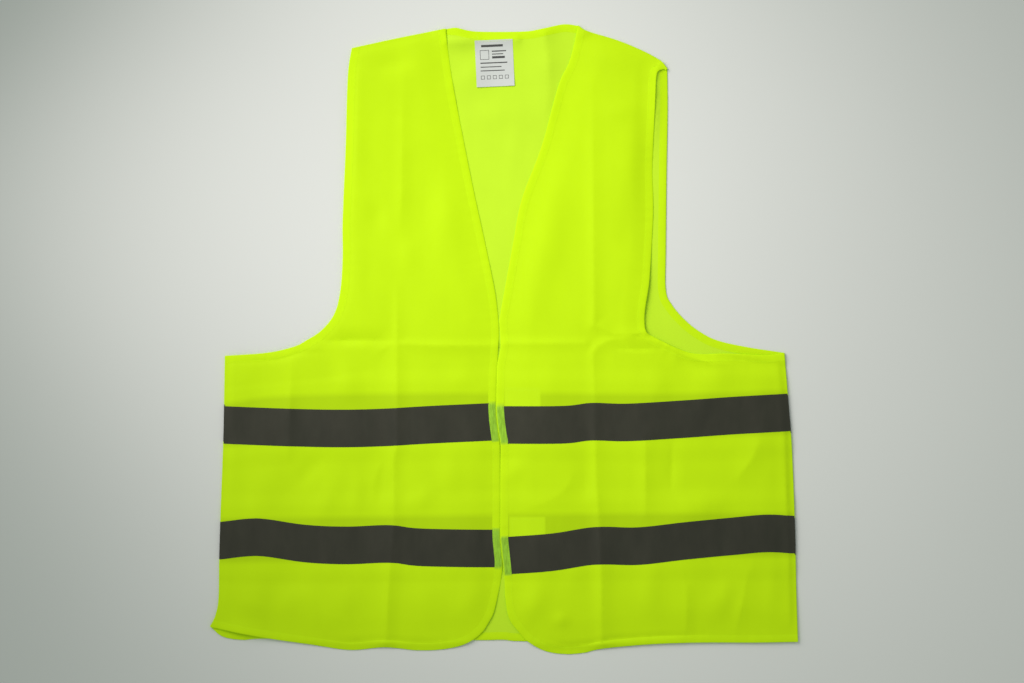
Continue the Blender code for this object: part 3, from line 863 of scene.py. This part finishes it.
def closure_look():
    """The hook side of a closure: dense stubble, with painted shade in the hollows between the hooks."""
    look = Look("closure_hooks", 0.9, 0.2)
    stubble = look.bumps(1.4)
    base = look.mix(look.noise(6, 6), rgb(0.66, 0.80, 0.22), rgb(0.72, 0.86, 0.30))
    # Painted shade: the colour darkens where the stubble's bumps are low.
    return look.finish(look.shaded(base, look.scaled(stubble, 0.15, 0.9)), look.scaled(stubble, 0.5, 0.5),
                       depth=0.4, strength=0.8)


def label_look():
    """White satin, woven in fine ribs."""
    look = Look("label_satin", 0.45, 0.35, sheen=0.1)
    base = look.mix(look.noise(14, 10), rgb(0.60, 0.615, 0.605), rgb(0.65, 0.665, 0.655))
    return look.finish(base, look.scaled(look.wave(look.y, 0.35), 0.5, 0.5), depth=0.03, strength=0.4)


def ink_look():
    look = Look("label_ink", 0.6, 0.2)
    base = look.mix(look.noise(0.8, 0.8), rgb(0.05, 0.05, 0.052), rgb(0.10, 0.10, 0.10))
    return look.finish(base, look.noise(0.3, 0.3), depth=0.01, strength=0.3)


def thread_look(name, light, dark):
    """Spun thread, with painted shade in the grooves of its twist, in step with its bumps."""
    look = Look(name, 0.7, 0.2)
    twist = look.scaled(look.wave(look.math("ADD", look.x, look.y), 0.45), 0.5, 0.5)
    return look.finish(look.mix(twist, rgb(*dark), rgb(*light)), twist, depth=0.05, strength=0.5)


KNIT_LOOK = knit_look()
BINDING_LOOK = binding_look()
TAPE_LOOK = tape_look()
CLOSURE_LOOK = closure_look()
LABEL_LOOK = label_look()
INK_LOOK = ink_look()
# Each thread has a lit colour and a darker one, the painted shade in the grooves of its twist.
THREAD_LOOK = thread_look("edging_thread", (0.66, 0.97, 0.02), (0.58, 0.88, 0.014))
GREY_THREAD_LOOK = thread_look("tape_thread", (0.10, 0.10, 0.08), (0.05, 0.05, 0.04))


# Pieces.

def as_sheet(node, width, length):
    """Hides the imported solid of a flat piece of cloth. The size it was cut to, width and length in mm, is
    not used.
    """
    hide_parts(node)


def tape_piece(place, tape, cloth, panel, levels, rows=()):
    """One length of tape, with its rows of stitches where they show."""
    obj = shell(f"tape_{place}", cloth, panel & within(cloth, tape_outline(tape)), *levels, TAPE_LOOK)
    sewn = [stitching(f"stitches_tape_{place}", rows, GREY_THREAD_LOOK)] if rows else ()
    as_sheet(f"band_{place}", 2 * TAPE_HALF, length_of(edge(tape)))


def sewn_edging(node, place, path, height, tapes=()):
    """A binding with its row of stitches."""
    obj = edging(f"edging_{place}", path, height, tapes)
    row = (beside(path, STITCH_INSET),
           lambda flat: height(flat) + over_tape(flat, tapes) + STITCH_LEVEL)
    sewn = stitching(f"stitches_{place}", [row], THREAD_LOOK)
    as_sheet(node, EDGING_CUT, length_of(path))


def cut_size(outline):
    """Width and length in mm of the smallest upright box round an outline, and its area in square metres."""
    size = np.ptp(outline, axis=0)
    x, y = outline.T
    area = abs(np.dot(x, np.roll(y, -1)) - np.dot(y, np.roll(x, -1))) / 2
    return size[0], size[1], float(area) * MM**2


def back():
    label = turned_box(LABEL_MIDDLE, LABEL_SIZE, LABEL_TILT)
    lines = [beside(lengthened(path), BINDING_INSET) for path in BACK_BOUND]
    for tape in BACK_TAPES:
        lines += tape_lines(tape, TAPE_HALF, -TAPE_HALF)
    lines += fold_lines(CREASES_BACK)
    cloth = cloth_map(BACK_OUTLINE, lines, [label], BACK_GRID, back_height)
    panel = panel_of(cloth, BACK_BOUND)
    marks = np.tile([0.0, 0.0, 1.0], (len(cloth.places), 1))
    obj = shell("back_cloth", cloth, panel, CLOTH_LOW, CLOTH_HIGH, KNIT_LOOK, marks)
    width, length, area = cut_size(BACK_OUTLINE)
    as_sheet("back_panel", width, length)
    for level, tape in zip(("upper", "lower"), BACK_TAPES):
        tape_piece(f"back_{level}", tape, cloth, panel, (HIDDEN_TAPE_LOW, HIDDEN_TAPE_HIGH))
    for place, node, path in zip(("neck", "armhole_right_back", "hem_back", "armhole_left_back"),
                                 ("binding_back_neck", "binding_armhole_right_back", "binding_back_hem",
                                  "binding_armhole_left_back"), BACK_BOUND):
        sewn_edging(node, place, path, back_height)


LABEL_COLUMNS, LABEL_ROWS = 34, 42
LABEL_SEWN_SIDE, LABEL_SEWN_TOP, LABEL_SEWN_PLACES = 1.5, 1.8, 20
PRINT_LINE = 0.6
PRINT_STEP = 4
PRINT_LOW, PRINT_HIGH = LABEL_HIGH + 0.01, LABEL_HIGH + 0.05


def framed(x, y, size_x, size_y):
    """The four bars of a printed frame, from its upper left corner."""
    right, low, line = x + size_x, y - size_y, PRINT_LINE
    return ((x, y, right, y - line), (x, low + line, right, low),
            (x, y - line, x + line, low + line), (right - line, y - line, right, low + line))


# Plain printed bars, each from its upper left to its lower right corner, from the label's middle.
LABEL_BARS = (
    (-17, 25, 12, 22), (-3, 17, 16, 15.5), (-3, 13, 12, 11.8), (-3, 9.5, 14, 6.5),
    (-19, 1.5, 17, 0), (-19, -4, 9, -5.2), (-19, -9, 13, -10.2), *framed(-19, 18, 12, 12.6),
    *(bar for i in range(5) for bar in framed(-19 + 8 * i, -16, 5, 5)),
)


def label_height(u, v):
    """The label's lift over the back: level at its sewn top, with its lower corners curling up."""
    down = np.clip((LABEL_SIZE.y / 2 - v) / LABEL_SIZE.y, 0, 1)
    return 0.3 * down + 1.1 * (down**4) * (0.5 + 2 * (u / LABEL_SIZE.x) ** 2) + 0.25 * down * np.sin(v / 11)


def label_places(u, v, above):
    """Places on the label, from distances right of and above its middle."""
    cos, sin = math.cos(LABEL_TILT), math.sin(LABEL_TILT)
    flat = np.column_stack([LABEL_MIDDLE.x + u * cos - v * sin, LABEL_MIDDLE.y + u * sin + v * cos])
    return np.column_stack([flat, back_height(flat) + label_height(u, v) + above])


def plate(columns, rows, low, high):
    """A thin closed plate over a grid on the label."""
    u, v = (grid.ravel() for grid in np.meshgrid(columns, rows))
    wide = len(columns)
    quads = [(a, a + 1, a + 1 + wide, a + wide) for first in range(0, len(u) - wide, wide)
             for a in range(first, first + wide - 1)]
    return np.vstack([label_places(u, v, level) for level in (low, high)]), sheet_faces(quads, len(u))


def label():
    half = LABEL_SIZE.x / 2, LABEL_SIZE.y / 2
    vertices, faces = plate(np.linspace(-half[0], half[0], LABEL_COLUMNS),
                            np.linspace(-half[1], half[1], LABEL_ROWS), LABEL_LOW, LABEL_HIGH)
    obj = made("label_cloth", vertices, faces, [LABEL_LOOK])
    prints, print_faces = [], []
    for x0, y0, x1, y1 in LABEL_BARS:
        columns = np.linspace(x0, x1, 2 + int((x1 - x0) / PRINT_STEP))
        rows = np.linspace(y1, y0, 2 + int((y0 - y1) / PRINT_STEP))
        vertices, faces = plate(columns, rows, PRINT_LOW, PRINT_HIGH)
        first = sum(len(part) for part in prints)
        prints.append(vertices)
        print_faces += [tuple(i + first for i in face) for face in faces]
    printed = made("label_print", np.vstack(prints), print_faces, [INK_LOOK])
    row = np.linspace(LABEL_SEWN_SIDE - half[0], half[0] - LABEL_SEWN_SIDE, LABEL_SEWN_PLACES)
    row = label_places(row, np.full(LABEL_SEWN_PLACES, half[1] - LABEL_SEWN_TOP), 0)[:, :2]
    sewn = stitching("stitches_label", [(row, lambda flat: back_height(flat) + LABEL_HIGH + 0.08)],
                     THREAD_LOOK)
    as_sheet("neck_label", LABEL_SIZE.x, LABEL_SIZE.y)


Side = namedtuple("Side", "name edges bound settled tapes creases swells closures seed")


def front(side):
    def height(flat):
        return front_height(flat, side)

    outline = joined(*side.edges)
    lines = [beside(lengthened(path), BINDING_INSET) for path in side.bound]
    lines += fold_lines(side.creases)
    lines.append(beside(BACK_HEM_EDGE, -DROP_START))
    for tape in side.tapes:
        lines += tape_lines(tape, TAPE_HALF, -TAPE_HALF)
    for tape in BACK_TAPES:
        lines += tape_lines(tape, TAPE_HALF + TAPE_STEP, TAPE_HALF, -TAPE_HALF, -TAPE_HALF - TAPE_STEP)
    boxes = [square(middle, CLOSURE_SIZE + wider)
             for middle in side.closures for wider in (0, 2 * PATCH_RAMP)]
    cloth = cloth_map(outline, lines, boxes, FRONT_GRID, height)
    panel = panel_of(cloth, side.bound)
    patch = np.zeros(len(cloth.places))
    for middle in side.closures:
        patch = np.maximum(patch, in_box(cloth.places, middle, PATCH_RAMP))
    hidden_tape = on_tapes(cloth.places, BACK_TAPES, TAPE_SHOWN) * (1 - patch)
    marks = np.column_stack([hidden_tape, patch, np.zeros(len(patch))])
    obj = shell(f"front_{side.name}_cloth", cloth, panel, CLOTH_LOW, CLOTH_HIGH, KNIT_LOOK, marks)
    width, length, area = cut_size(outline)
    as_sheet(f"front_panel_{side.name}", width, length)
    for level, tape in zip(("upper", "lower"), side.tapes):
        rows = [(line[inside(line, outline)], lambda flat: height(flat) + TAPE_HIGH + THREAD_PROUD)
                for line in tape_lines(tape, TAPE_HALF - TAPE_SEWN, TAPE_SEWN - TAPE_HALF)]
        tape_piece(f"{side.name}_{level}", tape, cloth, panel, (TAPE_LOW, TAPE_HIGH), rows)
    sewn_edging(f"binding_front_{side.name}", f"front_{side.name}", side.bound[0], height, side.tapes)
    sewn_edging(f"binding_armhole_{side.name}_front", f"armhole_{side.name}_front", side.bound[1],
                height)
    for level, middle in zip(("upper", "lower"), side.closures):
        kept = panel & within(cloth, square(middle, CLOSURE_SIZE))
        obj = shell(f"closure_{level}_patch", cloth, kept, PATCH_LOW, PATCH_HIGH, CLOSURE_LOOK)
        row = ring(square(middle, CLOSURE_SIZE - 2 * CLOSURE_SEWN))
        clear = ~np.any([np.abs(tape_offset(row, tape)) < TAPE_HALF + 1 for tape in side.tapes], axis=0)
        rows = [(row[clear], lambda flat: height(flat) + CLOTH_HIGH + CLOSURE_THREAD)]
        sewn = stitching(f"stitches_closure_{level}", rows, THREAD_LOOK)
        as_sheet(f"closure_{level}", CLOSURE_SIZE, CLOSURE_SIZE)
    return height


ROLL_BULGE, ROLL_INSET = 0.9, 0.7  # how far a seam's roll reaches out, and where it starts
ROLL_POINTS = 9
ROLL_REACH, ROLL_FLAT = 3.0, 0.85  # how far in its two edges lie, and how flat they are


def seam_roll(name, path, height, tapes):
    """The turned seam where a front and the back meet: a soft fold over both edges."""
    angles = np.linspace(-math.pi / 2, math.pi / 2, ROLL_POINTS)
    low, high = back_height(path) + SEAM_LOW, height(path) + SEAM_HIGH
    across = ROLL_INSET - (ROLL_BULGE + ROLL_INSET) * np.cos(angles)
    across = np.concatenate([across, [ROLL_REACH, ROLL_REACH]])
    turn = np.concatenate([np.sin(angles), [ROLL_FLAT, -ROLL_FLAT]])
    up = (low + high)[:, None] / 2 + (high - low)[:, None] / 2 * turn
    paint = on_tapes(path, tapes, 0.01) > 0.5
    obj = sweep(name, path, inward(path), np.tile(across, (len(path), 1)), up, [KNIT_LOOK, TAPE_LOOK],
                paint=paint)


def vest():
    opening_left, armhole_left = edge(OPENING_LEFT), edge(ARMHOLE_LEFT)
    left = Side("left", (edge(SHOULDER_LEFT), opening_left, edge(SIDE_LEFT), armhole_left),
                (opening_left, armhole_left), ((1.0, 45), (0.55, 16)), (BAND_LEFT_UPPER, BAND_LEFT_LOWER),
                CREASES_LEFT, SWELLS_LEFT, (), 0.7)
    opening_right, armhole_right = edge(OPENING_RIGHT), edge(ARMHOLE_RIGHT_FRONT)
    right = Side("right", (edge(SHOULDER_RIGHT), armhole_right, edge(SIDE_RIGHT), opening_right),
                 (opening_right, armhole_right), ((0.95, 45), (1.0, 30)),
                 (BAND_RIGHT_UPPER, BAND_RIGHT_LOWER), CREASES_RIGHT, SWELLS_RIGHT,
                 (CLOSURE_UPPER, CLOSURE_LOWER), 4.2)
    back()
    label()
    heights = {side.name: front(side) for side in (left, right)}
    for place, side, path in zip(("shoulder", "side", "side", "shoulder"), (right, right, left, left), SEAMS):
        seam_roll(f"seam_{place}_{side.name}", path, heights[side.name], side.tapes)


# The studio.

FLOOR_DROP = 0.2
FLOOR_REACH = 6.0  # in metres
VIEW_WIDTH = 1369.0  # what the photo's 1024 pixels span at the vest
LENS, SENSOR = 70.0, 36.0
AIM = At(10.7, -3.1)
KEY_PLACE, KEY_AIM, KEY_SIZE = (-0.44, 0.52, 0.68), (0.15, 0.05, 0.0), (1.0, 0.8)  # in metres
KEY_WATTS, KEY_SPREAD, KEY_COLOUR = 2.84, 78, (1.0, 0.957, 0.93)
SKY_COLOUR, SKY_STRENGTH = rgb(0.90, 1.0, 0.905), 0.458


def floor():
    mesh = bpy.data.meshes.new("floor")
    corners = ((-1, -1), (1, -1), (1, 1), (-1, 1))
    places = [(x * FLOOR_REACH, y * FLOOR_REACH, -FLOOR_DROP * MM) for x, y in corners]
    mesh.from_pydata(places, [], [(0, 1, 2, 3)])
    look = Look("floor_paper", 0.9, 0.1)
    base = look.mix(look.noise(400, 400), rgb(0.74, 0.74, 0.735), rgb(0.76, 0.76, 0.755))
    mesh.materials.append(look.finish(base))
    placed("floor", mesh)


def key_light():
    light = bpy.data.lights.new("key", "AREA")
    light.shape = "RECTANGLE"
    light.size, light.size_y = KEY_SIZE
    light.energy = KEY_WATTS
    light.spread = math.radians(KEY_SPREAD)
    light.color = KEY_COLOUR
    obj = placed("key", light)
    obj.location = KEY_PLACE
    obj.rotation_mode = "QUATERNION"
    obj.rotation_quaternion = (Vector(KEY_AIM) - Vector(KEY_PLACE)).to_track_quat("-Z", "Y")


def sky():
    world = bpy.data.worlds.new("studio")
    world.use_nodes = True
    background = world.node_tree.nodes["Background"]
    background.inputs["Color"].default_value = SKY_COLOUR
    background.inputs["Strength"].default_value = SKY_STRENGTH
    bpy.context.scene.world = world
    bpy.context.scene.view_settings.view_transform = "Standard"


def camera():
    data = bpy.data.cameras.new("camera")
    data.lens, data.sensor_width = LENS, SENSOR
    obj = placed("camera", data)
    obj.location = (AIM.x * MM, AIM.y * MM, VIEW_WIDTH * MM * LENS / SENSOR)
    bpy.context.scene.camera = obj


vest()
floor()
key_light()
sky()
camera()
